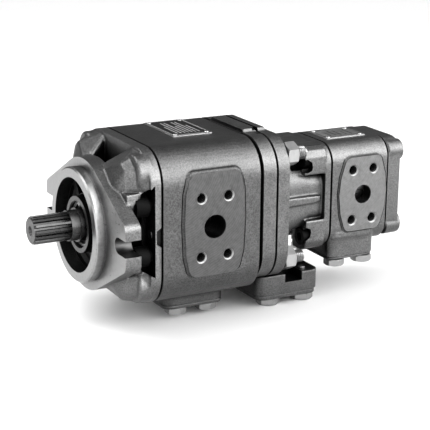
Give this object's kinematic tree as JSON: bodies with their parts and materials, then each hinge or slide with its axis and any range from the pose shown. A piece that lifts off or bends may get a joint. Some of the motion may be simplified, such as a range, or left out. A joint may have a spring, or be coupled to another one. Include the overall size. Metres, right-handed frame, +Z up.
{
  "type": "hydraulic gear pump",
  "caption": "Tandem internal gear pump in cast iron with a splined shaft, slotted mounting flange and side pressure ports; the shaft turns the ring gears inside.",
  "frame": {"origin": "where the shaft axis meets the face of the mounting flange", "axes": "-X along the drive shaft out of the pump, +X towards the rear pump, -Y out of the pressure ports, +Z up"},
  "size_m": [0.3598, 0.174, 0.1648],
  "materials": {
    "castings": "as-cast grey iron, phosphated, with machined port and flange faces",
    "cover_plates": "black-oxided plate",
    "gaskets": "black gasket sheet",
    "zinc_fasteners": "bright zinc plate",
    "dark_fasteners": "black-oxided high-tensile steel",
    "shaft_steel": "ground and hardened steel",
    "gear_steel": "ground steel",
    "bearing_bronze": "bearing bronze",
    "seal_rubber": "black nitrile rubber",
    "dark_plate": "black enamelled plate",
    "light_plate": "plain etched aluminium",
    "rivets": "bright aluminium"
  },
  "bodies": {
    "housing": {"front_cover": "castings", "front_housing": "castings", "end_plate": "castings", "rear_cover": "castings", "rear_housing": "castings", "rear_end_cover": "castings", "suction_block": "castings", "front_suction_cover": "cover_plates", "rear_suction_cover": "cover_plates", "block_cover": "cover_plates", "front_suction_gasket": "gaskets", "rear_suction_gasket": "gaskets", "block_gasket": "gaskets", "front_suction_bolts": "zinc_fasteners", "rear_suction_bolts": "zinc_fasteners", "block_bolts": "zinc_fasteners", "flange_studs": "zinc_fasteners", "stud_nuts": "zinc_fasteners", "block_plug": "zinc_fasteners", "cover_bolts": "dark_fasteners", "tie_bolts": "dark_fasteners", "front_filler_carrier": "gear_steel", "front_filler_segment": "gear_steel", "front_stop_pin": "gear_steel", "rear_filler_carrier": "gear_steel", "rear_filler_segment": "gear_steel", "rear_stop_pin": "gear_steel", "front_dowels": "gear_steel", "middle_dowels": "gear_steel", "rear_dowels": "gear_steel", "seal_clip": "gear_steel", "front_bush": "bearing_bronze", "middle_bush": "bearing_bronze", "rear_bush": "bearing_bronze", "end_bush": "bearing_bronze", "front_inner_axial_disc": "bearing_bronze", "front_outer_axial_disc": "bearing_bronze", "rear_inner_axial_disc": "bearing_bronze", "rear_outer_axial_disc": "bearing_bronze", "shaft_seal": "seal_rubber", "coupling_seal": "seal_rubber", "front_cover_o_ring": "seal_rubber", "end_plate_o_ring": "seal_rubber", "rear_cover_o_ring": "seal_rubber", "end_cover_o_ring": "seal_rubber", "front_nameplate": "dark_plate", "rear_nameplate": "light_plate", "front_nameplate_rivets": "rivets", "rear_nameplate_rivets": "rivets"},
    "rotor": {"drive_shaft": "shaft_steel", "coupling_sleeve": "shaft_steel", "rear_pinion_shaft": "shaft_steel"},
    "front_ring": {"front_ring_gear": "gear_steel"},
    "rear_ring": {"rear_ring_gear": "gear_steel"}
  },
  "joints": [
    {"name": "shaft_spin", "type": "hinge", "parent": "housing", "child": "rotor", "pos_m": [0, 0, 0], "axis": [1, 0, 0], "continuous": true},
    {"name": "front_ring_spin", "type": "hinge", "parent": "housing", "child": "front_ring", "pos_m": [0.0915, 0, 0.0105], "axis": [1, 0, 0], "continuous": true},
    {"name": "rear_ring_spin", "type": "hinge", "parent": "housing", "child": "rear_ring", "pos_m": [0.2634, 0, 0.0066], "axis": [1, 0, 0], "continuous": true}
  ],
  "couplings": [
    {"joint": "front_ring_spin", "follows": "shaft_spin", "ratio": 0.68421},
    {"joint": "rear_ring_spin", "follows": "shaft_spin", "ratio": 0.68421}
  ]
}
